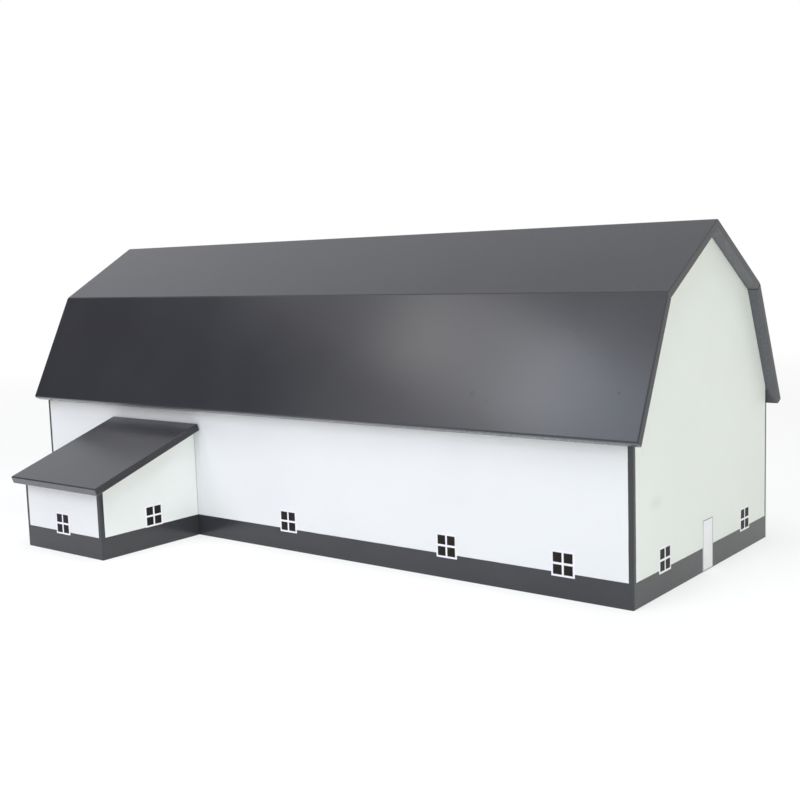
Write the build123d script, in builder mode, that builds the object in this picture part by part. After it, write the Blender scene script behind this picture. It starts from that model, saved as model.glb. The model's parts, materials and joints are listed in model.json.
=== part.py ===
from build123d import *
from math import cos, radians, tan
import os

# A toy gambrel-roofed dairy barn, with a lean-to milk house glued to its front wall.
# Millimetres. X runs along the barn, the long front wall faces -Y, and Z is up.
# The origin is the centre of the barn's footprint, on the table.

# Barn box
barn_length = 534.0
barn_width = 200.0
wall_board = 5.5
floor_thickness = 5.5
corner_post_side = 12.0
corner_post_top_gap = 2.5
wall_corner_rounding = 1.0
wall_foot_rounding = 0.6

# Gambrel roof, measured on the outside of its boards
roof_board = 5.5
ridge_height = 216.8
knee_height = 176.0
knee_inset = 31.0
eave_height = 95.7
eave_reach = 8.1
gable_overhang = 7.0
ridge_rounding = 2.0
eave_rounding = 1.5
roof_end_rounding = 0.8
knee_seam_rounding = 0.4
soffit_seam_rounding = 0.7
cleat_leg = 14.0
cleat_depth = 7.0

# Clearances of the roof, which lifts off
roof_seat_clearance = 0.2
cleat_end_clearance = 1.0

# Milk house
annex_width = 86.0
annex_reach = 88.0
annex_centre_from_left_end = 135.8
annex_wall_height = 48.6
annex_roof_pitch = 19.0
annex_roof_overhang = 5.8
annex_post_side = 10.0
annex_post_top_gap = 3.0

# Stickers
sticker_thickness = 0.25
sticker_corner = 0.4
window_side = 15.5
left_window_from_right_end = 262.8
middle_window_from_right_end = 127.6
right_window_from_right_end = 44.8
front_window_z = 20.9
gable_window_from_corner = 39.5
gable_window_z = 21.2
annex_front_window_z = 21.3
annex_side_window_z = 23.1
annex_side_window_from_barn = 42.0
door_width = 15.2
door_height = 32.5
door_foot_z = 0.4
door_offset = 0.6

half_length = barn_length / 2
half_width = barn_width / 2
inner_half_length = half_length - wall_board
inner_half_width = half_width - wall_board
roof_length = barn_length + 2 * gable_overhang
touching = 0.01

# The roof's front half as points of its section, which runs across the barn and up
outer_eave = Vector(-half_width - eave_reach, eave_height)
outer_knee = Vector(-half_width + knee_inset, knee_height)
outer_ridge = Vector(0, ridge_height)


def along(low, high):
    """Unit vector from low to high."""
    return (high - low).normalized()


def outward(low, high):
    """Unit vector square to the front board that runs from low to high, out of the roof."""
    run = along(low, high)
    return Vector(-run.Y, run.X)


lower_outward = outward(outer_eave, outer_knee)
upper_outward = outward(outer_knee, outer_ridge)


def section_under(depth):
    """Eave, knee and ridge points of the line that lies depth under the roof's outside."""
    eave = outer_eave - lower_outward * depth
    mitre = (lower_outward + upper_outward) / (1 + lower_outward.dot(upper_outward))
    knee = outer_knee - mitre * depth
    ridge = outer_ridge - Vector(0, depth / upper_outward.Y)
    return eave, knee, ridge


def mirrored(point):
    """The same point of the section on the roof's rear half."""
    return Vector(-point.X, point.Y)


inner_eave, inner_knee, inner_ridge = section_under(roof_board)
seat_eave, seat_knee, seat_ridge = section_under(roof_board + roof_seat_clearance)
seat_slope = (seat_knee.Y - seat_eave.Y) / (seat_knee.X - seat_eave.X)
wall_height = seat_eave.Y + (-half_width - seat_eave.X) * seat_slope


def save(builder, label):
    """Names a finished sub-part and writes its file."""
    builder.part.label = label
    export_step(builder.part, f"parts/{label}.step")


os.makedirs("parts", exist_ok=True)


# Barn walls

def long_wall(label, inner_y):
    """A long wall that stands between the gable walls, inner_y from the barn's middle."""
    outward_y = wall_board if inner_y > 0 else -wall_board
    with BuildPart() as wall:
        with BuildSketch(Plane.XY):
            with Locations((0, inner_y + outward_y / 2)):
                Rectangle(2 * inner_half_length, wall_board)
        extrude(amount=wall_height)
        feet = wall.edges().filter_by(Axis.X).group_by(Axis.Z)[0].sort_by(Axis.Y)
        fillet(feet[-1 if inner_y > 0 else 0], radius=wall_foot_rounding)
    save(wall, label)


def gable_wall(label, inner_x):
    """A gable wall of the barn's full width, cut to the underside of the roof."""
    outward_x = wall_board if inner_x > 0 else -wall_board
    with BuildPart() as wall:
        with BuildSketch(Plane.YZ.offset(inner_x)):
            with BuildLine():
                Polyline(
                    (-half_width, 0),
                    (-half_width, wall_height),
                    seat_knee,
                    seat_ridge,
                    mirrored(seat_knee),
                    (half_width, wall_height),
                    (half_width, 0),
                    close=True,
                )
            make_face()
        extrude(amount=outward_x)
        outer_face = wall.faces().sort_by(Axis.X)[-1 if inner_x > 0 else 0]
        fillet(outer_face.edges().filter_by(Axis.Z), radius=wall_corner_rounding)
        outer_face = wall.faces().sort_by(Axis.X)[-1 if inner_x > 0 else 0]
        fillet(outer_face.edges().sort_by(Axis.Z)[0], radius=wall_foot_rounding)
    save(wall, label)


def corner_post(label, side_x, side_y):
    """A square glue post on the floor, in one inner corner of the barn."""
    middle_x = side_x * (inner_half_length - corner_post_side / 2)
    middle_y = side_y * (inner_half_width - corner_post_side / 2)
    with BuildPart() as post:
        with BuildSketch(Plane.XY.offset(floor_thickness)):
            with Locations((middle_x, middle_y)):
                Rectangle(corner_post_side, corner_post_side)
        extrude(amount=wall_height - corner_post_top_gap - floor_thickness)
    save(post, label)


long_wall("front_wall", -inner_half_width)
long_wall("rear_wall", inner_half_width)
gable_wall("right_gable_wall", inner_half_length)
gable_wall("left_gable_wall", -inner_half_length)

with BuildPart() as floor_board:
    with BuildSketch(Plane.XY):
        Rectangle(2 * inner_half_length, 2 * inner_half_width)
    extrude(amount=floor_thickness)
save(floor_board, "floor_board")

for end_name, end_side in (("left", -1), ("right", 1)):
    corner_post(f"front_{end_name}_corner_post", end_side, -1)
    corner_post(f"rear_{end_name}_corner_post", end_side, 1)


# Roof boards, cut from one section of the whole roof

with BuildSketch() as roof_section:
    with BuildLine():
        Polyline(
            outer_eave,
            outer_knee,
            outer_ridge,
            mirrored(outer_knee),
            mirrored(outer_eave),
            mirrored(inner_eave),
            mirrored(inner_knee),
            inner_ridge,
            inner_knee,
            inner_eave,
            close=True,
        )
    make_face()
    fillet(roof_section.vertices().sort_by(Axis.Y)[-1], radius=ridge_rounding)
    fillet(roof_section.vertices().sort_by(Axis.X)[0], radius=eave_rounding)
    fillet(roof_section.vertices().sort_by(Axis.X)[-1], radius=eave_rounding)


def knee_plane(front):
    """The plane of the glued mitre at one knee, facing the upper board."""
    low, high = (inner_knee, outer_knee) if front else (mirrored(inner_knee), mirrored(outer_knee))
    mitre = along(low, high)
    side = 1 if front else -1
    facing = (0, side * mitre.Y, -side * mitre.X)
    return Plane(origin=(0, low.X, low.Y), x_dir=(1, 0, 0), z_dir=facing)


def lies_on(plane, edge):
    """Whether the middle of an edge lies on a plane."""
    return abs(plane.to_local_coords(edge @ 0.5).Z) < touching


def roof_board_piece(label, front, upper):
    """One roof board, mitred where it meets the next, with its free edges eased."""
    knee = knee_plane(front)
    with BuildPart() as board:
        with BuildSketch(Plane.YZ.offset(-roof_length / 2)):
            add(roof_section.sketch)
        extrude(amount=roof_length)
        split(bisect_by=Plane.XZ, keep=Keep.TOP if front else Keep.BOTTOM)
        split(bisect_by=knee, keep=Keep.TOP if upper else Keep.BOTTOM)
        seam = board.edges().filter_by(Axis.X).filter_by(lambda edge: lies_on(knee, edge))
        fillet(seam.sort_by(Axis.Z)[-1], radius=knee_seam_rounding)
        seam = board.edges().filter_by(Axis.X).filter_by(lambda edge: lies_on(knee, edge))
        fillet(seam.sort_by(Axis.Z)[0], radius=soffit_seam_rounding)
        ends = board.faces().sort_by(Axis.X)[0].edges() + board.faces().sort_by(Axis.X)[-1].edges()
        free = [edge for edge in ends if not lies_on(knee, edge) and not lies_on(Plane.XZ, edge)]
        fillet(free, radius=roof_end_rounding)
    save(board, label)


def cleat(label, corner, left_run, right_run):
    """A strip glued into the corner between two boards, from gable wall to gable wall."""
    left = corner + left_run * cleat_leg
    right = corner + right_run * cleat_leg
    inward = (left_run + right_run).normalized() * cleat_depth
    length = 2 * (inner_half_length - cleat_end_clearance)
    with BuildPart() as strip:
        with BuildSketch(Plane.YZ.offset(-length / 2)):
            with BuildLine():
                Polyline(left, corner, right, right + inward, left + inward, close=True)
            make_face()
        extrude(amount=length)
    save(strip, label)


for half_name, is_front in (("front", True), ("rear", False)):
    roof_board_piece(f"{half_name}_upper_roof_board", is_front, True)
    roof_board_piece(f"{half_name}_lower_roof_board", is_front, False)

down_lower = along(outer_knee, outer_eave)
down_upper = along(outer_ridge, outer_knee)
cleat("front_knee_cleat", inner_knee, down_lower, down_upper * -1)
cleat("rear_knee_cleat", mirrored(inner_knee), mirrored(down_upper * -1), mirrored(down_lower))
cleat("ridge_cleat", inner_ridge, down_upper, mirrored(down_upper))


# Milk house, open at the back, where the barn's front wall closes it

annex_front_y = -half_width - annex_reach
annex_centre_x = -half_length + annex_centre_from_left_end
annex_left_x = annex_centre_x - annex_width / 2
annex_right_x = annex_centre_x + annex_width / 2
annex_slope = tan(radians(annex_roof_pitch))


def annex_ceiling(y):
    """Height of the underside of the milk house's roof over y."""
    return annex_wall_height + (y - annex_front_y) * annex_slope


def annex_side_wall(label, outer_x, inward):
    """A side wall, from the back of the front wall to the barn."""
    wall_front_y = annex_front_y + wall_board
    with BuildPart() as wall:
        with BuildSketch(Plane.YZ.offset(outer_x)):
            with BuildLine():
                Polyline(
                    (wall_front_y, 0),
                    (wall_front_y, annex_ceiling(wall_front_y)),
                    (-half_width, annex_ceiling(-half_width)),
                    (-half_width, 0),
                    close=True,
                )
            make_face()
        extrude(amount=inward * wall_board)
        outer_face = wall.faces().sort_by(Axis.X)[0 if inward > 0 else -1]
        fillet(outer_face.edges().sort_by(Axis.Z)[0], radius=wall_foot_rounding)
    save(wall, label)


def annex_post(label, outer_x, inward):
    """A square glue post in a front corner of the milk house."""
    middle_x = outer_x + inward * (wall_board + annex_post_side / 2)
    middle_y = annex_front_y + wall_board + annex_post_side / 2
    with BuildPart() as post:
        with BuildSketch(Plane.XY):
            with Locations((middle_x, middle_y)):
                Rectangle(annex_post_side, annex_post_side)
        extrude(amount=annex_wall_height - annex_post_top_gap)
    save(post, label)


with BuildPart() as annex_front_wall:
    with BuildSketch(Plane.YZ.offset(annex_left_x)):
        with BuildLine():
            Polyline(
                (annex_front_y, 0),
                (annex_front_y, annex_wall_height),
                (annex_front_y + wall_board, annex_ceiling(annex_front_y + wall_board)),
                (annex_front_y + wall_board, 0),
                close=True,
            )
        make_face()
    extrude(amount=annex_width)
    outer_face = annex_front_wall.faces().sort_by(Axis.Y)[0]
    fillet(outer_face.edges().filter_by(Axis.Z), radius=wall_corner_rounding)
    outer_face = annex_front_wall.faces().sort_by(Axis.Y)[0]
    fillet(outer_face.edges().sort_by(Axis.Z)[0], radius=wall_foot_rounding)
save(annex_front_wall, "annex_front_wall")

annex_side_wall("annex_left_wall", annex_left_x, 1)
annex_side_wall("annex_right_wall", annex_right_x, -1)
annex_post("annex_left_post", annex_left_x, 1)
annex_post("annex_right_post", annex_right_x, -1)

annex_eave_y = annex_front_y - annex_roof_overhang
annex_roof_plane = Plane(
    origin=(annex_centre_x, annex_eave_y, annex_ceiling(annex_eave_y)), x_dir=(1, 0, 0)
).rotated((annex_roof_pitch, 0, 0))
annex_roof_run = (-half_width - annex_eave_y) / cos(radians(annex_roof_pitch))

with BuildPart() as annex_roof_board:
    with BuildSketch(annex_roof_plane):
        with Locations((0, annex_roof_run / 2)):
            Rectangle(annex_width + 2 * annex_roof_overhang, annex_roof_run)
    extrude(amount=roof_board)
    back_face = annex_roof_board.faces().sort_by(Axis.Y)[-1]
    eased = [edge for edge in annex_roof_board.edges() if edge not in back_face.edges()]
    fillet(eased, radius=roof_end_rounding)
save(annex_roof_board, "annex_roof_board")


# Stickers

def sticker(label, plane, middle, width, height, facing=1):
    """A thin sticker on a wall's outer face, its middle given along and up the wall."""
    with BuildPart() as sheet:
        with BuildSketch(plane):
            with Locations(middle):
                RectangleRounded(width, height, sticker_corner)
        extrude(amount=facing * sticker_thickness)
    save(sheet, label)


def window(label, plane, middle, facing=1):
    """A square window sticker."""
    sticker(label, plane, middle, window_side, window_side, facing)


front_face = Plane.XZ.offset(half_width)
rear_face = Plane.XZ.offset(-half_width)
annex_front_face = Plane.XZ.offset(-annex_front_y)
annex_right_face = Plane.YZ.offset(annex_right_x)
annex_side_window_y = -half_width - annex_side_window_from_barn

for place_name, from_right_end in (
    ("left", left_window_from_right_end),
    ("middle", middle_window_from_right_end),
    ("right", right_window_from_right_end),
):
    middle = (half_length - from_right_end, front_window_z)
    window(f"front_window_{place_name}", front_face, middle)
    window(f"rear_window_{place_name}", rear_face, middle, -1)

for end_name, end_side in (("right", 1), ("left", -1)):
    end_face = Plane.YZ.offset(end_side * half_length)
    for place_name, place_side in (("front", -1), ("rear", 1)):
        middle = (place_side * (half_width - gable_window_from_corner), gable_window_z)
        window(f"{end_name}_gable_{place_name}_window", end_face, middle, end_side)
    middle = (door_offset, door_foot_z + door_height / 2)
    sticker(f"{end_name}_gable_door", end_face, middle, door_width, door_height, end_side)

window("annex_front_window", annex_front_face, (annex_centre_x, annex_front_window_z))
window("annex_side_window", annex_right_face, (annex_side_window_y, annex_side_window_z))
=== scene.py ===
"""Looks of a toy dairy barn: painted fibreboard, printed stickers and a plain white studio.

Lengths are metres in the part's own frame. X runs along the barn, the front wall faces -Y and Z is up.
"""

import json
import logging
import math
from collections.abc import Iterator
from dataclasses import dataclass, field
from enum import Enum

import bmesh
import bpy
from mathutils import Euler, Matrix, Vector

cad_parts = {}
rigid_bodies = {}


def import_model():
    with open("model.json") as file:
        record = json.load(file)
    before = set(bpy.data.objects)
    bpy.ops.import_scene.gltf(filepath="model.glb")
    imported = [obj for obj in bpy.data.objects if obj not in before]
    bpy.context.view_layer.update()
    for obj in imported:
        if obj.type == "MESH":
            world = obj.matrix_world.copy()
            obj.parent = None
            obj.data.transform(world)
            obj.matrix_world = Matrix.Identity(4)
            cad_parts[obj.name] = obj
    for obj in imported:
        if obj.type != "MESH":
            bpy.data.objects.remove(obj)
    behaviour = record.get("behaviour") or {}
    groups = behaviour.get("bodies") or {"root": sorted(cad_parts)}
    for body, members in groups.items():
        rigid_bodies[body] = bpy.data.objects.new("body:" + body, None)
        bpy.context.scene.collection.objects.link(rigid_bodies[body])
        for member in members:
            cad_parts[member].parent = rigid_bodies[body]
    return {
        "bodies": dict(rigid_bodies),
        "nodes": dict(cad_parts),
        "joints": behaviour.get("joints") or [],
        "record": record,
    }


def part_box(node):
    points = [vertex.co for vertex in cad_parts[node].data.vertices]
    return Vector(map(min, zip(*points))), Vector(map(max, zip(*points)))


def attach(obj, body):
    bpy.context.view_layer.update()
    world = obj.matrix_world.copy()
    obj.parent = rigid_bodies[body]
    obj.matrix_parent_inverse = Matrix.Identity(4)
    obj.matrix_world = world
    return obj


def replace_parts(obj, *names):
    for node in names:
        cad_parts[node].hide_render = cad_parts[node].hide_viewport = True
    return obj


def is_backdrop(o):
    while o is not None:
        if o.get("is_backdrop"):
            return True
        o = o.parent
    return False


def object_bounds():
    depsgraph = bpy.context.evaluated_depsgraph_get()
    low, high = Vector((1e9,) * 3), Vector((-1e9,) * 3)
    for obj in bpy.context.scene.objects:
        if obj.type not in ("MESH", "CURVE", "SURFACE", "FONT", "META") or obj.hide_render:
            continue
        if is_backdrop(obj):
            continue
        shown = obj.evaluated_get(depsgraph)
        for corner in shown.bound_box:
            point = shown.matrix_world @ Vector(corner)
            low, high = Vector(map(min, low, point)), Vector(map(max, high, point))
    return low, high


MM = 0.001
BOARD = 5.5 * MM
NOISE_BAND = (0.3, 0.7)
log = logging.getLogger("barn")

Socket = bpy.types.NodeSocket
Feed = Socket | float | tuple[float, ...]
Triple = tuple[float, float, float]
Colour = Triple


class Slot(Enum):
    """The record's material slots of the new pieces, which nothing here reads."""

    WINDOW_STICKER = "window_sticker"
    DOOR_STICKER = "door_sticker"


class Body(Enum):
    """The body that the new pieces ride on: every sticker is on a wall, and none on the roof."""

    BARN = "barn"


class Facing(Enum):
    """Which way a wall face looks, with the directions out of it and across it as seen from outside."""

    FRONT = ((0.0, -1.0, 0.0), (1.0, 0.0, 0.0))
    REAR = ((0.0, 1.0, 0.0), (-1.0, 0.0, 0.0))
    RIGHT = ((1.0, 0.0, 0.0), (0.0, 1.0, 0.0))
    LEFT = ((-1.0, 0.0, 0.0), (0.0, -1.0, 0.0))

    @property
    def outward(self) -> Vector:
        """Unit vector out of the face."""
        return Vector(self.value[0])

    @property
    def across(self) -> Vector:
        """Unit vector across the face, from left to right as seen from outside."""
        return Vector(self.value[1])


class Graph:
    """A material's node tree, with a short call for each kind of node that the finishes share."""

    def __init__(self, name: str) -> None:
        """Makes an empty material with a Principled shader.

        Args:
            name: The material's name.
        """
        self.material = bpy.data.materials.new(name)
        self.material.use_nodes = True
        self.nodes = self.material.node_tree.nodes
        self.links = self.material.node_tree.links
        self.nodes.clear()
        self.shader = self.nodes.new("ShaderNodeBsdfPrincipled")
        output = self.nodes.new("ShaderNodeOutputMaterial")
        self.links.new(self.shader.outputs["BSDF"], output.inputs["Surface"])
        self.place = self.nodes.new("ShaderNodeTexCoord").outputs["Object"]
        self.facing = self.nodes.new("ShaderNodeNewGeometry").outputs["Normal"]

    def feed(self, target: Socket, source: Feed) -> None:
        """Links a socket into another, or sets a plain value on it.

        Args:
            target: The input socket.
            source: An output socket, a number, or a colour or vector.
        """
        if isinstance(source, Socket):
            self.links.new(source, target)
        elif isinstance(source, tuple) and target.type == "RGBA":
            target.default_value = (*source, 1.0)
        else:
            target.default_value = source

    def set(self, name: str, source: Feed) -> None:
        """Feeds one input of the shader by its name."""
        self.feed(self.shader.inputs[name], source)

    def maths(self, operation: str, *sources: Feed) -> Socket:
        """One Math node.

        Args:
            operation: Blender's name of the operation.
            *sources: The operands.

        Returns:
            The result's socket.
        """
        node = self.nodes.new("ShaderNodeMath")
        node.operation = operation
        for target, source in zip(node.inputs, sources, strict=False):
            self.feed(target, source)
        return node.outputs[0]

    def vector_maths(self, operation: str, output: str, *sources: Feed) -> Socket:
        """One Vector Math node.

        Args:
            operation: Blender's name of the operation.
            output: The name of the output wanted, Vector or Value.
            *sources: The operands.

        Returns:
            The result's socket.
        """
        node = self.nodes.new("ShaderNodeVectorMath")
        node.operation = operation
        for target, source in zip(node.inputs, sources, strict=False):
            self.feed(target, source)
        return node.outputs[output]

    def split(self, vector: Feed) -> tuple[Socket, Socket, Socket]:
        """The three components of a vector."""
        node = self.nodes.new("ShaderNodeSeparateXYZ")
        self.feed(node.inputs[0], vector)
        return node.outputs[0], node.outputs[1], node.outputs[2]

    def ramp(self, value: Feed, low: float, high: float, start: float = 0.0, end: float = 1.0) -> Socket:
        """A smooth step of a value.

        Args:
            value: What is stepped.
            low: The value at which the result is start.
            high: The value at which the result is end.
            start: The result below low.
            end: The result above high.

        Returns:
            The result's socket.
        """
        node = self.nodes.new("ShaderNodeMapRange")
        node.interpolation_type = "SMOOTHSTEP"
        for name, source in (
            ("Value", value),
            ("From Min", low),
            ("From Max", high),
            ("To Min", start),
            ("To Max", end),
        ):
            self.feed(node.inputs[name], source)
        return node.outputs["Result"]

    def noise(self, grain: float, detail: float = 2.0, stretch: Triple = (1, 1, 1)) -> Socket:
        """Noise over the piece.

        Args:
            grain: The size of its largest spots, in metres.
            detail: How many finer layers it has.
            stretch: Factors on the place along X, Y and Z.

        Returns:
            The noise's socket, from 0 to 1 with a middle of one half.
        """
        node = self.nodes.new("ShaderNodeTexNoise")
        node.inputs["Scale"].default_value = 1 / grain
        node.inputs["Detail"].default_value = detail
        place = self.vector_maths("MULTIPLY", "Vector", self.place, stretch)
        self.links.new(place, node.inputs["Vector"])
        return node.outputs["Fac"]

    def mix(self, factor: Feed, first: Feed, second: Feed) -> Socket:
        """A blend of two colours.

        Args:
            factor: The share of the second.
            first: A colour.
            second: A colour.

        Returns:
            The colour's socket.
        """
        node = self.nodes.new("ShaderNodeMix")
        node.data_type = "RGBA"
        self.feed(node.inputs["Factor"], factor)
        self.feed(node.inputs[6], first)
        self.feed(node.inputs[7], second)
        return node.outputs[2]

    def blend(self, factor: Feed, first: Feed, second: Feed) -> Socket:
        """A blend of two numbers.

        Args:
            factor: The share of the second.
            first: A number.
            second: A number.

        Returns:
            The number's socket.
        """
        node = self.nodes.new("ShaderNodeMix")
        node.data_type = "FLOAT"
        self.feed(node.inputs["Factor"], factor)
        self.feed(node.inputs[2], first)
        self.feed(node.inputs[3], second)
        return node.outputs[0]

    def edges(self, radius: float) -> Socket:
        """Where the surface is near a sharp edge.

        Args:
            radius: How far from the edge it reaches, in metres.

        Returns:
            A mask from 0 on the flat to 1 on the edge.
        """
        bevel = self.nodes.new("ShaderNodeBevel")
        bevel.samples = 4
        bevel.inputs["Radius"].default_value = radius
        alike = self.vector_maths("DOT_PRODUCT", "Value", bevel.outputs[0], self.facing)
        return self.ramp(alike, 0.99, 0.80)

    def spot(self, centre: Vector, radius: float, squeeze: Triple = (1, 1, 1)) -> Socket:
        """A soft mask about one point.

        Args:
            centre: The point.
            radius: Where the mask has faded to nothing, in metres.
            squeeze: Factors on the distance along X, Y and Z.

        Returns:
            The mask's socket.
        """
        offset = self.vector_maths("SUBTRACT", "Vector", self.place, tuple(centre))
        squeezed = self.vector_maths("MULTIPLY", "Vector", offset, squeeze)
        distance = self.vector_maths("LENGTH", "Value", squeezed)
        return self.ramp(distance, radius, radius * 0.2)

    def relief(self, *layers: tuple[Socket, float]) -> None:
        """Stacks bump layers on the shader.

        Args:
            *layers: The height of each, and how deep its full range is, in metres.
        """
        normal = None
        for height, depth in layers:
            bump = self.nodes.new("ShaderNodeBump")
            bump.inputs["Distance"].default_value = depth
            self.links.new(height, bump.inputs["Height"])
            if normal is not None:
                self.links.new(normal, bump.inputs["Normal"])
            normal = bump.outputs["Normal"]
        self.links.new(normal, self.shader.inputs["Normal"])


@dataclass(frozen=True)
class Paint:
    """One sprayed paint: its colour and how rough it dries on a face and on a cut edge."""

    colour: Colour
    roughness: float
    edge_roughness: float

    def shade(self, factor: float) -> Colour:
        """The paint's colour, lightened or darkened by a factor."""
        return tuple(c * factor for c in self.colour)


@dataclass(frozen=True)
class Palette:
    """The colours of the whole toy."""

    white: Paint = Paint((0.83, 0.84, 0.85), 0.34, 0.45)
    charcoal: Paint = Paint((0.040, 0.0405, 0.0465), 0.18, 0.38)
    roof: Paint = Paint((0.0345, 0.0345, 0.0400), 0.18, 0.38)
    fibreboard: Colour = (0.36, 0.235, 0.135)
    fibreboard_dark: Colour = (0.22, 0.135, 0.072)
    fibreboard_pale: Colour = (0.50, 0.35, 0.22)
    vinyl: Colour = (0.905, 0.875, 0.955)
    pane_print: Colour = (0.013, 0.011, 0.009)
    outline_print: Colour = (0.30, 0.29, 0.29)
    hand_grime: Colour = (0.60, 0.56, 0.50)
    finger_smudge: Colour = (0.25, 0.24, 0.23)
    joint_shadow: Colour = (0.20, 0.20, 0.21)
    bare_roughness: float = 0.85
    bare_ior: float = 1.4
    ior: float = 1.48
    roof_ior: float = 1.5


PALETTE = Palette()


@dataclass(frozen=True)
class RoofLines:
    """The roof's two outer slopes, for masks that follow them. Y is taken as its distance from the ridge."""

    upper_pitch: float
    lower_pitch: float
    knee_y: float
    knee_z: float

    @staticmethod
    def from_frame() -> "RoofLines":
        """Reads the slopes off the front roof boards.

        Returns:
            The roof's lines.
        """
        upper_low, upper_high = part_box("front_upper_roof_board")
        lower_low, lower_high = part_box("front_lower_roof_board")
        knee_y, knee_z = -upper_low.y, lower_high.z
        eave_y = -lower_low.y
        lower_pitch = math.atan2(knee_z - lower_low.z - BOARD / 2, eave_y - knee_y)
        upper_pitch = math.atan2(upper_high.z - knee_z, knee_y)
        return RoofLines(upper_pitch, lower_pitch, knee_y, knee_z)

    def depth(self, graph: Graph) -> Socket:
        """How far a point lies above the roof's outside, below zero inside the barn.

        Args:
            graph: The material that asks.

        Returns:
            The distance's socket, in metres.
        """
        _, y, z = graph.split(graph.place)
        from_ridge = graph.maths("ABSOLUTE", y)
        distances = []
        for pitch in (self.upper_pitch, self.lower_pitch):
            sideways = graph.maths("MULTIPLY", from_ridge, math.sin(pitch))
            total = graph.maths("MULTIPLY_ADD", z, math.cos(pitch), sideways)
            at_knee = self.knee_y * math.sin(pitch) + self.knee_z * math.cos(pitch)
            distances.append(graph.maths("SUBTRACT", total, at_knee))
        return graph.maths("MAXIMUM", *distances)


def fibre_relief(graph: Graph, bare: Socket | None = None) -> tuple[Socket, float]:
    """The bump layer of bare fibreboard.

    Args:
        graph: The material that it is for.
        bare: The mask of the bare part, or None where all of it is bare.

    Returns:
        The height and its depth, as Graph.relief takes them.
    """
    fibres = graph.noise(0.9 * MM, 5.0)
    height = fibres if bare is None else graph.maths("MULTIPLY", bare, fibres)
    return height, 0.12 * MM


def fibreboard(graph: Graph) -> Socket:
    """The colour of bare fibreboard, with its short fibres and paler dust.

    Args:
        graph: The material that it is for.

    Returns:
        The colour's socket.
    """
    fibres = graph.noise(1.1 * MM, 4.0, (0.55, 1.0, 1.0))
    clouds = graph.noise(38 * MM, 3.0)
    dust = graph.noise(0.45 * MM, 1.0)
    base = graph.mix(graph.ramp(fibres, 0.32, 0.70), PALETTE.fibreboard_dark, PALETTE.fibreboard)
    base = graph.mix(graph.ramp(clouds, 0.35, 0.75, 0.0, 0.45), base, PALETTE.fibreboard_pale)
    return graph.mix(graph.ramp(dust, 0.66, 0.80, 0.0, 0.4), base, PALETTE.fibreboard_pale)


@dataclass(frozen=True)
class BareBoard:
    """Unpainted fibreboard, as sawn: the floor, the glue posts and the roof's cleats."""

    name: str = "bare_fibreboard"

    def make(self) -> bpy.types.Material:
        """Builds the material.

        Returns:
            The material.
        """
        graph = Graph(self.name)
        graph.set("Base Color", fibreboard(graph))
        graph.set("Roughness", graph.ramp(graph.noise(9 * MM), *NOISE_BAND, 0.78, 0.9))
        graph.set("IOR", PALETTE.bare_ior)
        graph.relief(fibre_relief(graph), (graph.noise(14 * MM), 0.05 * MM))
        return graph.material


@dataclass(frozen=True)
class WallPlan:
    """Where one building's painted corners and bare inner faces are, seen from above."""

    name: str
    left_x: float
    right_x: float
    front_y: float
    back_y: float

    def insets(self, graph: Graph) -> tuple[Socket, Socket]:
        """How far a point lies inside the plan, from its ends and from its long sides.

        Args:
            graph: The material that asks.

        Returns:
            The two distances' sockets, in metres.
        """
        x, y, _ = graph.split(graph.place)
        from_ends = graph.maths(
            "MINIMUM", graph.maths("SUBTRACT", x, self.left_x), graph.maths("SUBTRACT", self.right_x, x)
        )
        from_sides = graph.maths(
            "MINIMUM", graph.maths("SUBTRACT", y, self.front_y), graph.maths("SUBTRACT", self.back_y, y)
        )
        return from_ends, from_sides


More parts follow.
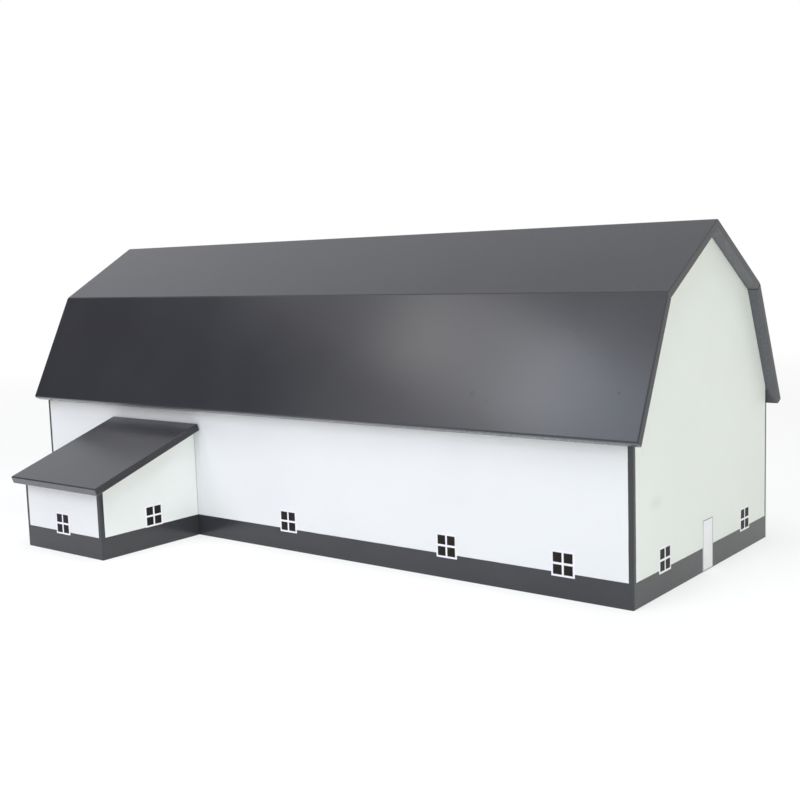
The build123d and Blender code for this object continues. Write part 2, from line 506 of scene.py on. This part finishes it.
@dataclass(frozen=True)
class WallPaint:
    """White walls over a charcoal plinth, with charcoal corner strips and bare inner faces."""

    plan: WallPlan
    roof: RoofLines
    plinth_height: float = 15.6 * MM
    strip_width: float = 3.05 * MM
    masked_edge: float = 0.09 * MM
    wander: float = 0.25 * MM
    overspray: float = 9.0 * MM
    wear_radius: float = 0.7 * MM
    joint_clearance: tuple[float, float] = (0.9 * MM, 1.4 * MM)
    smudge: Vector | None = None
    smudge_radius: float = 7 * MM
    smudge_shape: Triple = (1, 0.6, 1.25)
    butts_at: float | None = None

    def _charcoal(self, graph: Graph, from_ends: Socket, from_sides: Socket) -> Socket:
        """The mask of the charcoal paint, on the plinth and the corner strips.

        Args:
            graph: The wall's material.
            from_ends: How far a point lies in from the ends.
            from_sides: How far it lies in from the long sides.

        Returns:
            The mask's socket.
        """
        wander = graph.maths("MULTIPLY_ADD", graph.noise(14 * MM, 3.0), self.wander, -self.wander / 2)
        _, _, z = graph.split(graph.place)
        masks = []
        for distance, width in (
            (z, self.plinth_height),
            (from_ends, self.strip_width),
            (from_sides, self.strip_width),
        ):
            wandering = graph.maths("ADD", distance, wander)
            masks.append(graph.ramp(wandering, width + self.masked_edge, width - self.masked_edge))
        strips = graph.maths("MULTIPLY", masks[1], masks[2])
        return graph.maths("MAXIMUM", masks[0], strips)

    def _bare(self, graph: Graph, from_ends: Socket, from_sides: Socket) -> Socket:
        """The mask of the inner faces, less the paint mist along their top edges.

        Args:
            graph: The wall's material.
            from_ends: How far a point lies in from the ends.
            from_sides: How far it lies in from the long sides.

        Returns:
            The mask's socket.
        """
        limit = BOARD - 0.15 * MM
        nearest = graph.maths("MINIMUM", from_ends, from_sides)
        inside = graph.ramp(nearest, limit - 0.05 * MM, limit)
        depth = graph.maths("ADD", self.roof.depth(graph), 5.7 * MM)
        ragged = graph.maths("MULTIPLY_ADD", graph.noise(4 * MM, 4.0), self.overspray, depth)
        below_mist = graph.ramp(ragged, 0.2 * self.overspray, -1.2 * self.overspray)
        return graph.maths("MULTIPLY", inside, below_mist)

    def _off_joints(self, graph: Graph, from_ends: Socket, from_sides: Socket) -> Socket:
        """Zero beside the filled butt joints, one board in from each corner, and one elsewhere.

        Args:
            graph: The wall's material.
            from_ends: How far a point lies in from the ends.
            from_sides: How far it lies in from the long sides.

        Returns:
            The mask's socket.
        """
        masks = []
        for distance in (from_ends, from_sides):
            beside = graph.maths("ABSOLUTE", graph.maths("SUBTRACT", distance, BOARD))
            masks.append(graph.ramp(beside, *self.joint_clearance))
        return graph.maths("MULTIPLY", *masks)

    def make(self) -> bpy.types.Material:
        """Builds the material.

        Returns:
            The material.
        """
        graph = Graph(f"{self.plan.name}_wall_paint")
        white, dark = PALETTE.white, PALETTE.charcoal
        from_ends, from_sides = self.plan.insets(graph)
        charcoal = self._charcoal(graph, from_ends, from_sides)
        bare = self._bare(graph, from_ends, from_sides)
        off_joints = self._off_joints(graph, from_ends, from_sides)
        edge = graph.maths("MULTIPLY", graph.edges(self.wear_radius), off_joints)
        clouds = graph.noise(70 * MM, 3.0)
        mist = graph.noise(2.2 * MM, 4.0)

        pale = graph.mix(graph.ramp(clouds, *NOISE_BAND), white.shade(0.985), white.shade(1.012))
        handled = graph.ramp(graph.noise(26 * MM, 5.0), 0.62, 0.82, 0.0, 0.05)
        pale = graph.mix(handled, pale, PALETTE.hand_grime)
        if self.smudge is not None:
            smudge = graph.spot(self.smudge, self.smudge_radius, self.smudge_shape)
            touched = graph.maths("MULTIPLY", smudge, 0.10)
            pale = graph.mix(touched, pale, PALETTE.finger_smudge)
        band = graph.mix(graph.ramp(clouds, *NOISE_BAND), dark.shade(0.93), dark.shade(1.08))
        if self.butts_at is not None:
            # Painted shade: a dark line on the milk house walls just in front of their back edges, where
            # they meet the barn's front wall, stands for the shadow in that gap.
            _, y, _ = graph.split(graph.place)
            gap_shade = graph.ramp(y, self.butts_at - 0.55 * MM, self.butts_at - 0.2 * MM, 0.0, 0.75)
            pale = graph.mix(gap_shade, pale, PALETTE.joint_shadow)
            band = graph.mix(gap_shade, band, dark.shade(0.3))
        worn = graph.maths("MULTIPLY", edge, graph.ramp(mist, 0.35, 0.75, 0.15, 0.65))
        band = graph.mix(graph.maths("MULTIPLY", worn, 0.5), band, dark.shade(2.6))
        painted = graph.mix(charcoal, pale, band)
        graph.set("Base Color", graph.mix(bare, painted, fibreboard(graph)))

        drift = graph.ramp(clouds, *NOISE_BAND, -0.02, 0.02)
        satin = graph.blend(charcoal, white.roughness, dark.roughness)
        satin = graph.blend(edge, satin, white.edge_roughness)
        satin = graph.maths("ADD", satin, drift)
        graph.set("Roughness", graph.blend(bare, satin, PALETTE.bare_roughness))
        graph.set("IOR", PALETTE.ior)
        graph.relief(
            (graph.noise(1.6 * MM, 2.0), 0.018 * MM),
            (graph.noise(30 * MM, 1.0), 0.05 * MM),
            (charcoal, 0.04 * MM),
            fibre_relief(graph, bare),
        )
        return graph.material


@dataclass(frozen=True)
class BareInside:
    """Where the roof's undersides are left unpainted: inside the gables and above the wall tops."""

    lines: RoofLines
    half_length: float
    lowest: float
    mist: float = 14 * MM

    def mask(self, graph: Graph) -> Socket:
        """The mask of the unpainted undersides.

        Args:
            graph: The roof's material.

        Returns:
            The mask's socket.
        """
        x, _, z = graph.split(graph.place)
        _, _, up = graph.split(graph.facing)
        ragged = graph.maths("MULTIPLY_ADD", graph.noise(5 * MM, 4.0), self.mist, -self.mist / 2)
        from_middle = graph.maths("ADD", graph.maths("ABSOLUTE", x), ragged)
        height = graph.maths("ADD", z, ragged)
        within = BOARD - 0.6 * MM
        mask = graph.ramp(self.lines.depth(graph), -within, -within - 0.2 * MM)
        mask = graph.maths("MULTIPLY", mask, graph.ramp(up, -0.15, -0.3))
        within_gables = graph.ramp(from_middle, self.half_length, self.half_length - self.mist)
        above_walls = graph.ramp(height, self.lowest, self.lowest + self.mist)
        return graph.maths("MULTIPLY", graph.maths("MULTIPLY", mask, within_gables), above_walls)


@dataclass(frozen=True)
class Speck:
    """A small dark flaw in the roof paint: its place in millimetres, its radius and how dark it is."""

    place: Triple
    radius: float
    strength: float


@dataclass(frozen=True)
class RoofPaint:
    """Satin charcoal roof paint, rubbed at the edges and bare inside the barn, with painted shade on the cut
    ends and painted light on the undersides.
    """

    name: str
    bare_inside: BareInside | None = None
    specks: tuple[Speck, ...] = ()

    def make(self) -> bpy.types.Material:
        """Builds the material.

        Returns:
            The material.
        """
        graph = Graph(self.name)
        paint = PALETTE.roof
        edge = graph.edges(0.9 * MM)
        clouds = graph.noise(85 * MM, 3.0)
        mist = graph.noise(1.8 * MM, 4.0)
        x, _, _ = graph.split(graph.vector_maths("ABSOLUTE", "Vector", graph.facing))
        cut_end = graph.ramp(x, 0.8, 0.95)
        _, _, up = graph.split(graph.facing)
        underside = graph.ramp(up, -0.15, -0.35)
        underside_painted_light = graph.maths("MULTIPLY", underside, graph.ramp(mist, 0.2, 0.8, 0.7, 1.0))

        colour = graph.mix(graph.ramp(clouds, *NOISE_BAND), paint.shade(0.95), paint.shade(1.05))
        flecks = graph.ramp(graph.noise(0.8 * MM, 2.0), 0.70, 0.80, 0.0, 0.35)
        colour = graph.mix(flecks, colour, paint.shade(1.25))
        rubbed = graph.maths("MULTIPLY", edge, graph.ramp(mist, 0.3, 0.75, 0.2, 0.7))
        colour = graph.mix(graph.maths("MULTIPLY", rubbed, 0.5), colour, paint.shade(2.8))
        # Painted shade: faces that look along X, the boards' cut ends, are darkened towards 0.72 of the
        # paint.
        colour = graph.mix(graph.maths("MULTIPLY", cut_end, 0.8), colour, paint.shade(0.72))
        # Painted light: faces that look downwards, the undersides of the overhangs, are lightened with a
        # mottle to 4.2 times the paint, standing for the light that reaches them from below.
        colour = graph.mix(underside_painted_light, colour, paint.shade(4.2))
        for speck in self.specks:
            spot = graph.spot(Vector(speck.place) * MM, speck.radius)
            darkened = graph.maths("MULTIPLY", spot, speck.strength)
            colour = graph.mix(darkened, colour, paint.shade(0.35))

        satin = graph.blend(cut_end, paint.roughness, paint.edge_roughness)
        satin = graph.maths("ADD", satin, graph.ramp(clouds, *NOISE_BAND, -0.02, 0.02))
        heights = [
            (graph.noise(2.3 * MM, 3.0), 0.016 * MM),
            (graph.noise(45 * MM, 1.0), 0.05 * MM),
        ]
        if self.bare_inside is not None:
            bare = self.bare_inside.mask(graph)
            colour = graph.mix(bare, colour, fibreboard(graph))
            satin = graph.blend(bare, satin, PALETTE.bare_roughness)
            heights.append(fibre_relief(graph, bare))
        graph.set("Base Color", colour)
        graph.set("Roughness", satin)
        graph.set("IOR", PALETTE.roof_ior)
        graph.relief(*heights)
        return graph.material


@dataclass(frozen=True)
class Vinyl:
    """A printed vinyl sticker's surface, white or in one printed colour."""

    name: str
    colour: Colour
    roughness: float
    variation: float
    ior: float = 1.45

    def make(self) -> bpy.types.Material:
        """Builds the material.

        Returns:
            The material.
        """
        graph = Graph(self.name)
        low = tuple(c * (1 - self.variation) for c in self.colour)
        high = tuple(min(1.0, c * (1 + self.variation)) for c in self.colour)
        clouds = graph.noise(6 * MM, 3.0)
        graph.set("Base Color", graph.mix(graph.ramp(clouds, *NOISE_BAND), low, high))
        rub = graph.noise(1.3 * MM, 3.0, (1.0, 1.0, 0.4))
        graph.set("Roughness", graph.ramp(rub, *NOISE_BAND, self.roughness - 0.03, self.roughness + 0.05))
        graph.set("IOR", self.ior)
        graph.relief((graph.noise(5 * MM, 1.0), 0.02 * MM), (graph.noise(0.35 * MM, 1.0), 0.003 * MM))
        return graph.material


def dress(frame: dict, node: str, material: bpy.types.Material) -> None:
    """Gives a CAD node its finish.

    Args:
        node: The node's name.
        material: The finish.
    """
    mesh = frame["nodes"][node].data
    mesh.materials.clear()
    mesh.materials.append(material)
    log.info("dressed %s in %s", node, material.name)


def piece(
    name: str, mesh: bmesh.types.BMesh, materials: list[bpy.types.Material], body: Body, slot: Slot
) -> bpy.types.Object:
    """Turns a bmesh into an object of the model.

    Args:
        name: The piece's name.
        mesh: The bmesh, which is freed.
        materials: Its materials, in the order of their indices.
        body: The body that it rides on.
        slot: The record's slot for the piece; not used.

    Returns:
        The object.
    """
    bmesh.ops.recalc_face_normals(mesh, faces=mesh.faces)
    data = bpy.data.meshes.new(name)
    mesh.to_mesh(data)
    mesh.free()
    for material in materials:
        data.materials.append(material)
    made = bpy.data.objects.new(name, data)
    bpy.context.scene.collection.objects.link(made)
    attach(made, body.value)
    log.info("built %s", name)
    return made


@dataclass(frozen=True)
class Sticker:
    """A printed sticker that stands for one CAD sheet, laid out as a grid of plain and printed cells."""

    node: str
    facing: Facing
    slot: Slot
    corner: float = 0.4 * MM
    eased: float = 0.05 * MM
    corner_steps: int = 4

    def cuts(self, width: float, height: float) -> tuple[list[float], list[float]]:
        """Where the layout is cut, across and up from the sticker's middle.

        Args:
            width: The sticker's width.
            height: The sticker's height.

        Returns:
            The cuts across and the cuts up, each in rising order.
        """
        raise NotImplementedError

    def printed(self, column: int, row: int) -> bool:
        """Whether a cell of the layout is printed."""
        raise NotImplementedError

    def _outline(
        self, centre: tuple[float, float], along: tuple[int, int]
    ) -> Iterator[tuple[float, float]]:
        """Points of one rounded corner, anticlockwise.

        Args:
            centre: The centre of the rounding.
            along: The signs of the corner, across and up.

        Yields:
            Each point, across and up.
        """
        start = math.atan2(along[1], along[0]) - math.pi / 4
        for step in range(self.corner_steps + 1):
            angle = start + step * math.pi / 2 / self.corner_steps
            yield centre[0] + self.corner * math.cos(angle), centre[1] + self.corner * math.sin(angle)

    def build(self, materials: list[bpy.types.Material]) -> bpy.types.Object:
        """Builds the sticker in place of its CAD sheet.

        Args:
            materials: The plain finish and the printed one.

        Returns:
            The object.
        """
        low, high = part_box(self.node)
        out, across, up = self.facing.outward, self.facing.across, Vector((0, 0, 1))
        size = high - low
        width, height, thickness = abs(size.dot(across)), size.z, abs(size.dot(out))
        back = (low + high) / 2 - out * thickness / 2
        columns, rows = self.cuts(width, height)
        mesh = bmesh.new()

        def vertex(u: float, v: float) -> bmesh.types.BMVert:
            """A vertex on the sticker's face."""
            return mesh.verts.new(back + across * u + up * v + out * thickness)

        last_column, last_row = len(columns) - 1, len(rows) - 1
        grid: dict[tuple[int, int], list[bmesh.types.BMVert]] = {}
        for i, u in enumerate(columns):
            for j, v in enumerate(rows):
                if i in (0, last_column) and j in (0, last_row):
                    along = (-1 if i == 0 else 1, -1 if j == 0 else 1)
                    centre = (u - along[0] * self.corner, v - along[1] * self.corner)
                    grid[i, j] = [vertex(*point) for point in self._outline(centre, along)]
                else:
                    grid[i, j] = [vertex(u, v)]
        for i in range(last_column):
            for j in range(last_row):
                around = grid[i, j] + grid[i + 1, j] + grid[i + 1, j + 1] + grid[i, j + 1]
                face = mesh.faces.new(around)
                face.material_index = int(self.printed(i, j))
        rim = [edge for edge in mesh.edges if edge.is_boundary]
        walls = bmesh.ops.extrude_edge_only(mesh, edges=rim)["geom"]
        moved = [v for v in walls if isinstance(v, bmesh.types.BMVert)]
        bmesh.ops.translate(mesh, verts=moved, vec=-out * thickness)
        bmesh.ops.contextual_create(mesh, geom=[e for e in mesh.edges if e.is_boundary])
        for face in mesh.faces:
            if abs(face.normal.dot(out)) < 0.5:
                face.material_index = 0
        bmesh.ops.bevel(mesh, geom=rim, offset=self.eased, segments=2, affect="EDGES", profile=0.5)
        made = piece(self.node + "_print", mesh, materials, Body.BARN, self.slot)
        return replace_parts(made, self.node)


@dataclass(frozen=True)
class WindowSticker(Sticker):
    """A square window of four dark panes in a white frame."""

    slot: Slot = Slot.WINDOW_STICKER
    border: float = 1.2 * MM
    glazing_bar: float = 1.35 * MM

    def cuts(self, width: float, height: float) -> tuple[list[float], list[float]]:
        """The edges of the border and of the glazing bars, across and up."""
        half_bar = self.glazing_bar / 2
        across, up = (
            [-side / 2, -side / 2 + self.border, -half_bar, half_bar, side / 2 - self.border, side / 2]
            for side in (width, height)
        )
        return across, up

    def printed(self, column: int, row: int) -> bool:
        """The second and fourth cells each way are panes."""
        return column in (1, 3) and row in (1, 3)


@dataclass(frozen=True)
class DoorSticker(Sticker):
    """A plain white door with a thin printed outline."""

    slot: Slot = Slot.DOOR_STICKER
    outline: float = 0.75 * MM

    def cuts(self, width: float, height: float) -> tuple[list[float], list[float]]:
        """The inner edges of the outline, across and up."""
        across, up = (
            [-side / 2, -side / 2 + self.outline, side / 2 - self.outline, side / 2]
            for side in (width, height)
        )
        return across, up

    def printed(self, column: int, row: int) -> bool:
        """All cells but the middle one are outline."""
        return not (column == 1 and row == 1)


@dataclass
class Stickers:
    """All the windows and doors of the toy."""

    window: list[bpy.types.Material] = field(default_factory=list)
    door: list[bpy.types.Material] = field(default_factory=list)

    def finishes(self) -> None:
        """Makes the sticker finishes."""
        white = Vinyl("white_vinyl", PALETTE.vinyl, 0.36, 0.01).make()
        self.window = [white, Vinyl("dark_pane_print", PALETTE.pane_print, 0.5, 0.12, 1.27).make()]
        self.door = [white, Vinyl("grey_outline_print", PALETTE.outline_print, 0.36, 0.05).make()]

    def layout(self) -> Iterator[Sticker]:
        """Each sticker, with the way that its wall faces.

        Yields:
            The stickers.
        """
        for place in ("left", "middle", "right"):
            yield WindowSticker(f"front_window_{place}", Facing.FRONT)
            yield WindowSticker(f"rear_window_{place}", Facing.REAR)
        for end, facing in (("right", Facing.RIGHT), ("left", Facing.LEFT)):
            yield WindowSticker(f"{end}_gable_front_window", facing)
            yield WindowSticker(f"{end}_gable_rear_window", facing)
            yield DoorSticker(f"{end}_gable_door", facing)
        yield WindowSticker("annex_front_window", Facing.FRONT)
        yield WindowSticker("annex_side_window", Facing.RIGHT)

    def build(self) -> None:
        """Builds every sticker."""
        self.finishes()
        for sticker in self.layout():
            sticker.build(self.window if isinstance(sticker, WindowSticker) else self.door)


@dataclass
class BarnBox:
    """The barn's walls, floor and corner posts."""

    frame: dict
    roof: RoofLines
    bare: bpy.types.Material
    smudge_along: float = -71.6 * MM
    smudge_height: float = 56.2 * MM

    def dress(self) -> None:
        """Finishes the box's CAD nodes."""
        left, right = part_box("left_gable_wall"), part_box("right_gable_wall")
        plan = WallPlan("barn", left[0].x, right[1].x, right[0].y, right[1].y)
        smudge = Vector((plan.right_x, self.smudge_along, self.smudge_height))
        paint = WallPaint(plan, self.roof, smudge=smudge).make()
        for wall in ("front_wall", "rear_wall", "right_gable_wall", "left_gable_wall"):
            dress(self.frame, wall, paint)
        dress(self.frame, "floor_board", self.bare)
        for side in ("front", "rear"):
            for end in ("left", "right"):
                dress(self.frame, f"{side}_{end}_corner_post", self.bare)


@dataclass
class MilkHouse:
    """The lean-to on the barn's front wall. It has no back wall, so its plan's back is put far away."""

    frame: dict
    roof: RoofLines
    bare: bpy.types.Material
    plan_back: float = 1.0

    def dress(self) -> None:
        """Finishes the milk house's CAD nodes."""
        low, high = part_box("annex_front_wall")
        plan = WallPlan("milk_house", low.x, high.x, low.y, self.plan_back)
        paint = WallPaint(plan, self.roof, butts_at=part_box("annex_right_wall")[1].y).make()
        for wall in ("annex_front_wall", "annex_left_wall", "annex_right_wall"):
            dress(self.frame, wall, paint)
        dress(self.frame, "annex_roof_board", RoofPaint("milk_house_roof_paint").make())
        for post in ("annex_left_post", "annex_right_post"):
            dress(self.frame, post, self.bare)


@dataclass
class Roof:
    """The lift-off roof: four boards and three cleats."""

    frame: dict
    lines: RoofLines
    bare: bpy.types.Material
    bare_half_length: float = 256 * MM
    bare_from_height: float = 104 * MM
    specks: tuple[Speck, ...] = (
        Speck((256.8, -95.6, 121.4), 1.5 * MM, 0.8),
        Speck((160.0, -96.8, 116.5), 3.6 * MM, 0.5),
        Speck((172.0, -98.3, 113.1), 2.4 * MM, 0.5),
        Speck((66.0, -58.0, 182.5), 3.2 * MM, 0.4),
    )

    def dress(self) -> None:
        """Finishes the roof's CAD nodes."""
        inside = BareInside(self.lines, self.bare_half_length, self.bare_from_height)
        paint = RoofPaint("barn_roof_paint", inside, self.specks).make()
        for side in ("front", "rear"):
            for level in ("upper", "lower"):
                dress(self.frame, f"{side}_{level}_roof_board", paint)
        for cleat in ("front_knee_cleat", "rear_knee_cleat", "ridge_cleat"):
            dress(self.frame, cleat, self.bare)


@dataclass(frozen=True)
class Softbox:
    """A rectangular lamp, placed by the direction it shines from."""

    name: str
    azimuth: float
    elevation: float
    distance: float
    width: float
    height: float
    radiance: float
    tint: Colour = (1.0, 1.0, 1.0)
    target: Triple = (0.1, -0.09, 0.13)
    in_gloss: bool = True

    def hang(self) -> bpy.types.Object:
        """Makes the lamp. Azimuth 0 is in front of the barn, and 90 off its right end.

        Returns:
            The lamp's object.
        """
        turn, rise = math.radians(self.azimuth), math.radians(self.elevation)
        towards = Vector(
            (math.sin(turn) * math.cos(rise), -math.cos(turn) * math.cos(rise), math.sin(rise))
        )
        lamp = bpy.data.lights.new(self.name, "AREA")
        lamp.shape = "RECTANGLE"
        lamp.size, lamp.size_y = self.width, self.height
        lamp.energy = self.radiance * math.pi * self.width * self.height
        lamp.color = self.tint
        made = bpy.data.objects.new(self.name, lamp)
        made.location = Vector(self.target) + towards * self.distance
        made.rotation_euler = towards.to_track_quat("Z", "Y").to_euler()
        made.visible_glossy = self.in_gloss
        made.visible_camera = False
        bpy.context.scene.collection.objects.link(made)
        return made


@dataclass(frozen=True)
class Card:
    """A curved grey card that only the gloss sees, and that hides nothing else."""

    name: str
    from_azimuth: float
    to_azimuth: float
    from_elevation: float
    to_elevation: float
    level: float
    tint: Colour = (0.95, 0.96, 1.0)
    radius: float = 1.75
    centre: tuple[float, float] = (0.0, -0.09)
    steps: int = 24

    def stand(self) -> None:
        """Makes the card."""
        mesh = bmesh.new()
        elevations = (self.from_elevation, self.to_elevation)
        heights = [self.radius * math.tan(math.radians(elevation)) for elevation in elevations]
        columns = []
        for step in range(self.steps + 1):
            turn = self.from_azimuth + (self.to_azimuth - self.from_azimuth) * step / self.steps
            x = self.centre[0] + self.radius * math.sin(math.radians(turn))
            y = self.centre[1] - self.radius * math.cos(math.radians(turn))
            columns.append([mesh.verts.new((x, y, z)) for z in heights])
        for one, other in zip(columns, columns[1:]):
            mesh.faces.new((one[0], other[0], other[1], one[1]))
        data = bpy.data.meshes.new(self.name)
        mesh.to_mesh(data)
        mesh.free()
        card = bpy.data.objects.new(self.name, data)
        bpy.context.scene.collection.objects.link(card)
        card.visible_camera = card.visible_diffuse = card.visible_shadow = False
        material = bpy.data.materials.new(self.name + "_cloth")
        material.use_nodes = True
        shader = material.node_tree.nodes["Principled BSDF"]
        shader.inputs["Base Color"].default_value = (0.0, 0.0, 0.0, 1.0)
        shader.inputs["Specular IOR Level"].default_value = 0.0
        shader.inputs["Emission Color"].default_value = (*self.tint, 1.0)
        shader.inputs["Emission Strength"].default_value = self.level
        data.materials.append(material)
        card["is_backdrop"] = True


@dataclass
class Studio:
    """The pale floor, the backdrop, the lamps and the camera."""

    floor_radius: float = 6.0
    floor_sides: int = 96
    floor_colour: Colour = (0.82, 0.82, 0.82)
    floor_glow: float = 0.1
    white_near: float = 0.6
    white_from: float = 0.45
    white_to: float = 1.6
    ambient: float = 0.0
    backdrop: float = 1.0
    left_aim: Triple = (-0.1, -0.1, 0.13)
    right_aim: Triple = (0.1, -0.04, 0.13)
    camera_place: Triple = (0.54985, -0.66226, 0.19649)
    camera_turn: float = 38.2647
    camera_dip: float = -6.8315
    camera_roll: float = -1.8674
    focal_pixels: float = 1144.0
    frame_pixels: float = 800.0
    sensor: float = 36.0
    clip_range: tuple[float, float] = (0.01, 50.0)

    @staticmethod
    def _seen(tree: bpy.types.NodeTree) -> Socket:
        """One where a ray comes from the camera, or by way of gloss or glass, and zero elsewhere.

        Args:
            tree: The node tree that asks.

        Returns:
            The mask's socket.
        """
        path = tree.nodes.new("ShaderNodeLightPath")
        total = path.outputs["Is Camera Ray"]
        for name in ("Is Glossy Ray", "Is Transmission Ray"):
            either = tree.nodes.new("ShaderNodeMath")
            either.operation = "MAXIMUM"
            tree.links.new(total, either.inputs[0])
            tree.links.new(path.outputs[name], either.inputs[1])
            total = either.outputs[0]
        return total

    def lay_floor(self) -> None:
        """Makes the floor, which glows a little where it is seen and keeps the shadow."""
        mesh = bmesh.new()
        bmesh.ops.create_circle(mesh, cap_ends=True, segments=self.floor_sides, radius=self.floor_radius)
        data = bpy.data.meshes.new("studio_floor")
        mesh.to_mesh(data)
        mesh.free()
        floor = bpy.data.objects.new("studio_floor", data)
        bpy.context.scene.collection.objects.link(floor)
        material = bpy.data.materials.new("pale_floor")
        material.use_nodes = True
        tree = material.node_tree
        shader = tree.nodes["Principled BSDF"]
        shader.inputs["Base Color"].default_value = (*self.floor_colour, 1.0)
        shader.inputs["Roughness"].default_value = 0.9
        shader.inputs["Specular IOR Level"].default_value = 0.0
        shader.inputs["Emission Color"].default_value = (1.0, 1.0, 1.0, 1.0)
        shader.inputs["Emission Strength"].default_value = self.floor_glow
        white = tree.nodes.new("ShaderNodeEmission")
        distance = tree.nodes.new("ShaderNodeVectorMath")
        distance.operation = "LENGTH"
        tree.links.new(tree.nodes.new("ShaderNodeTexCoord").outputs["Object"], distance.inputs[0])
        fade = tree.nodes.new("ShaderNodeMapRange")
        fade.inputs["From Min"].default_value = self.white_from
        fade.inputs["From Max"].default_value = self.white_to
        fade.inputs["To Min"].default_value = self.white_near
        tree.links.new(distance.outputs["Value"], fade.inputs["Value"])
        share = tree.nodes.new("ShaderNodeMath")
        share.operation = "MULTIPLY"
        tree.links.new(self._seen(tree), share.inputs[0])
        tree.links.new(fade.outputs["Result"], share.inputs[1])
        mixed = tree.nodes.new("ShaderNodeMixShader")
        tree.links.new(share.outputs[0], mixed.inputs["Fac"])
        tree.links.new(shader.outputs["BSDF"], mixed.inputs[1])
        tree.links.new(white.outputs["Emission"], mixed.inputs[2])
        tree.links.new(mixed.outputs["Shader"], tree.nodes["Material Output"].inputs["Surface"])
        data.materials.append(material)
        floor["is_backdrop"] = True

    def light_world(self) -> None:
        """Makes the world: white where it is seen, and at the ambient strength, here zero, for the light
        itself.
        """
        world = bpy.data.worlds.new("studio_world")
        bpy.context.scene.world = world
        world.use_nodes = True
        tree = world.node_tree
        background = tree.nodes["Background"]
        background.inputs["Color"].default_value = (1.0, 1.0, 1.0, 1.0)
        strength = tree.nodes.new("ShaderNodeMapRange")
        strength.inputs["To Min"].default_value = self.ambient
        strength.inputs["To Max"].default_value = self.backdrop
        tree.links.new(self._seen(tree), strength.inputs["Value"])
        tree.links.new(strength.outputs["Result"], background.inputs["Strength"])

    def hang_lamps(self) -> None:
        """Hangs the lamps and stands the cards."""
        left, right = self.left_aim, self.right_aim
        for lamp in (
            Softbox("overhead_softbox", 0, 89, 1.5, 1.6, 1.4, 2.5, (0.98, 1.0, 0.95), in_gloss=False),
            Softbox("key_softbox", 18, 60, 1.5, 0.7, 0.7, 4.7, (0.95, 0.9, 1.0), in_gloss=False),
            Softbox("left_softbox", -8, 30, 1.1, 0.7, 0.7, 2.82, (0.98, 0.95, 1.0), left, in_gloss=False),
            Softbox("right_softbox", 72, 20, 2.4, 1.1, 1.1, 5.2, (0.97, 1.0, 0.74), right, in_gloss=False),
            Softbox("cool_fill", 45, 42, 1.8, 0.9, 0.9, 1.6, (0.25, 0.6, 1.0), in_gloss=False),
            Softbox("left_low_fill", -90, 12, 1.8, 0.9, 0.9, 2.8, (0.94, 1.0, 1.0), in_gloss=False),
            Softbox("rear_fill", 172, 18, 2.4, 1.1, 1.1, 3.6, (1.0, 1.0, 1.0), in_gloss=False),
            Softbox("front_strip_light", -42.2, 37.8, 1.7, 0.42, 0.24, 2.7, (1.0, 0.99, 1.0)),
            Softbox("cool_strip_light", -31.0, 38.2, 1.7, 0.32, 0.24, 2.9, (0.72, 0.82, 1.0)),
        ):
            lamp.hang()
        Card("dark_card", -49, -100, 0.5, 36, 0.03).stand()
        Card("grey_card", -100, -155, 14, 62, 0.85).stand()

    def place_camera(self) -> None:
        """Sets the camera where the photograph was taken from."""
        data = bpy.data.cameras.new("photo_camera")
        data.sensor_width = self.sensor
        data.lens = self.focal_pixels / self.frame_pixels * self.sensor
        data.clip_start, data.clip_end = self.clip_range
        camera = bpy.data.objects.new("photo_camera", data)
        aim = Euler((math.radians(90 + self.camera_dip), 0, math.radians(self.camera_turn)), "XYZ")
        roll = Matrix.Rotation(math.radians(self.camera_roll), 3, "Z")
        camera.location = self.camera_place
        camera.rotation_euler = (aim.to_matrix() @ roll).to_euler()
        bpy.context.scene.collection.objects.link(camera)
        bpy.context.scene.camera = camera

    def build(self) -> None:
        """Builds the whole studio."""
        self.place_camera()
        self.lay_floor()
        self.light_world()
        self.hang_lamps()
        bpy.context.scene.view_settings.view_transform = "Standard"


def write_sizes(cad_box: tuple[Vector, Vector]) -> None:
    """Gathers the CAD model's box and the visual model's box, and keeps neither.

    Args:
        cad_box: The lowest and highest corners of the CAD model.
    """
    boxes = {"cad": cad_box, "visual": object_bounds()}
    {name: [list(corner) for corner in box] for name, box in boxes.items()}


def main() -> None:
    """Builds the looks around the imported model."""
    logging.basicConfig(level=logging.INFO, format="%(name)s: %(message)s")
    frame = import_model()
    cad_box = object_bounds()
    roof_lines = RoofLines.from_frame()
    bare = BareBoard().make()
    BarnBox(frame, roof_lines, bare).dress()
    MilkHouse(frame, roof_lines, bare).dress()
    Roof(frame, roof_lines, bare).dress()
    Stickers().build()
    Studio().build()
    write_sizes(cad_box)


if __name__ == "__main__":
    main()
